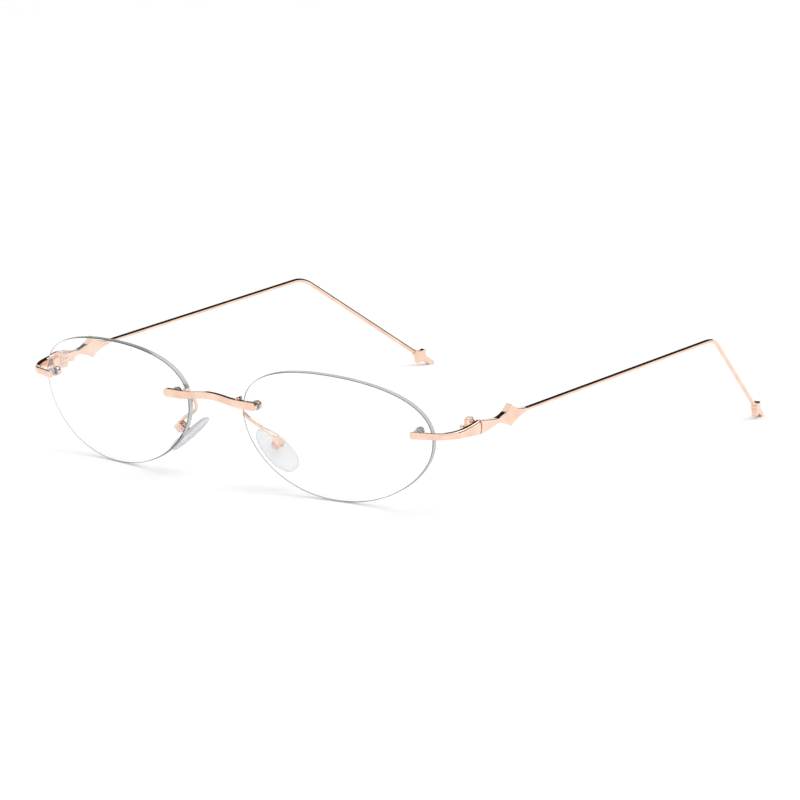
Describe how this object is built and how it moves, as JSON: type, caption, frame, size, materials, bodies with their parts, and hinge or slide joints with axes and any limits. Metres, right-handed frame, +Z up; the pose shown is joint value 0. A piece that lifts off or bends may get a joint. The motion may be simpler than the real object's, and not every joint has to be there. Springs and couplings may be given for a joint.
{
  "type": "rimless eyeglasses",
  "caption": "Rimless eyeglasses with oval lenses, a slim bar bridge, soft nose pads and fine wire temples that flare into a star plate and end in a small star tip.",
  "frame": {"origin": "on the table plane, on the mirror plane, below the front vertices of the lenses", "axes": "+Z up from the table, +X towards the wearer's left, +Y from the lenses back to the temple tips"},
  "size_m": [0.1366, 0.1536, 0.0316],
  "materials": {
    "rose_gold": "polished rose gold plate",
    "rose_gold_wire": "polished rose gold plate on drawn wire",
    "fastener": "polished rose gold plate",
    "lens_plastic": "clear, polished, with ground edges",
    "clear_plastic": "clear moulded",
    "pad_silicone": "clear soft silicone, faintly cloudy",
    "pad_core": "plated"
  },
  "bodies": {
    "front": {"bridge": "rose_gold", "lens_left": "lens_plastic", "lens_right": "lens_plastic", "nose_stud_left": "fastener", "nose_stud_right": "fastener", "nose_bush_left": "clear_plastic", "nose_bush_right": "clear_plastic", "nose_washer_left": "clear_plastic", "nose_washer_right": "clear_plastic", "nose_nut_left": "fastener", "nose_nut_right": "fastener", "temple_stud_left": "fastener", "temple_stud_right": "fastener", "temple_bush_left": "clear_plastic", "temple_bush_right": "clear_plastic", "temple_washer_left": "clear_plastic", "temple_washer_right": "clear_plastic", "temple_nut_left": "fastener", "temple_nut_right": "fastener", "endpiece_left": "rose_gold", "endpiece_right": "rose_gold", "hinge_front_left": "rose_gold", "hinge_front_right": "rose_gold", "hinge_screw_left": "fastener", "hinge_screw_right": "fastener", "pad_box_left": "rose_gold", "pad_box_right": "rose_gold", "pad_screw_left": "fastener", "pad_screw_right": "fastener", "pad_arm_left": "rose_gold_wire", "pad_arm_right": "rose_gold_wire"},
    "temple_left": {"hinge_temple_left": "rose_gold", "temple_front_left": "rose_gold", "temple_wire_left": "rose_gold_wire", "tip_ornament_left": "rose_gold"},
    "pad_left": {"nose_pad_left": "pad_silicone", "pad_insert_left": "pad_core"},
    "temple_right": {"hinge_temple_right": "rose_gold", "temple_front_right": "rose_gold", "temple_wire_right": "rose_gold_wire", "tip_ornament_right": "rose_gold"},
    "pad_right": {"nose_pad_right": "pad_silicone", "pad_insert_right": "pad_core"}
  },
  "joints": [
    {"name": "temple_left_fold", "type": "hinge", "parent": "front", "child": "temple_left", "pos_m": [0.0653, 0.0156, 0.0201], "axis": [0, 0, 1], "range_deg": [0, 90]},
    {"name": "temple_right_fold", "type": "hinge", "parent": "front", "child": "temple_right", "pos_m": [-0.0653, 0.0156, 0.0201], "axis": [0, 0, -1], "range_deg": [0, 87.5]},
    {"name": "pad_left_rock", "type": "hinge", "parent": "front", "child": "pad_left", "pos_m": [0.01559, 0.00467, 0.01135], "axis": [-0.2732, -0.891, -0.3626], "range_deg": [-12, 12]},
    {"name": "pad_right_rock", "type": "hinge", "parent": "front", "child": "pad_right", "pos_m": [-0.01559, 0.00467, 0.01135], "axis": [-0.2732, 0.891, 0.3626], "range_deg": [-12, 12]}
  ]
}
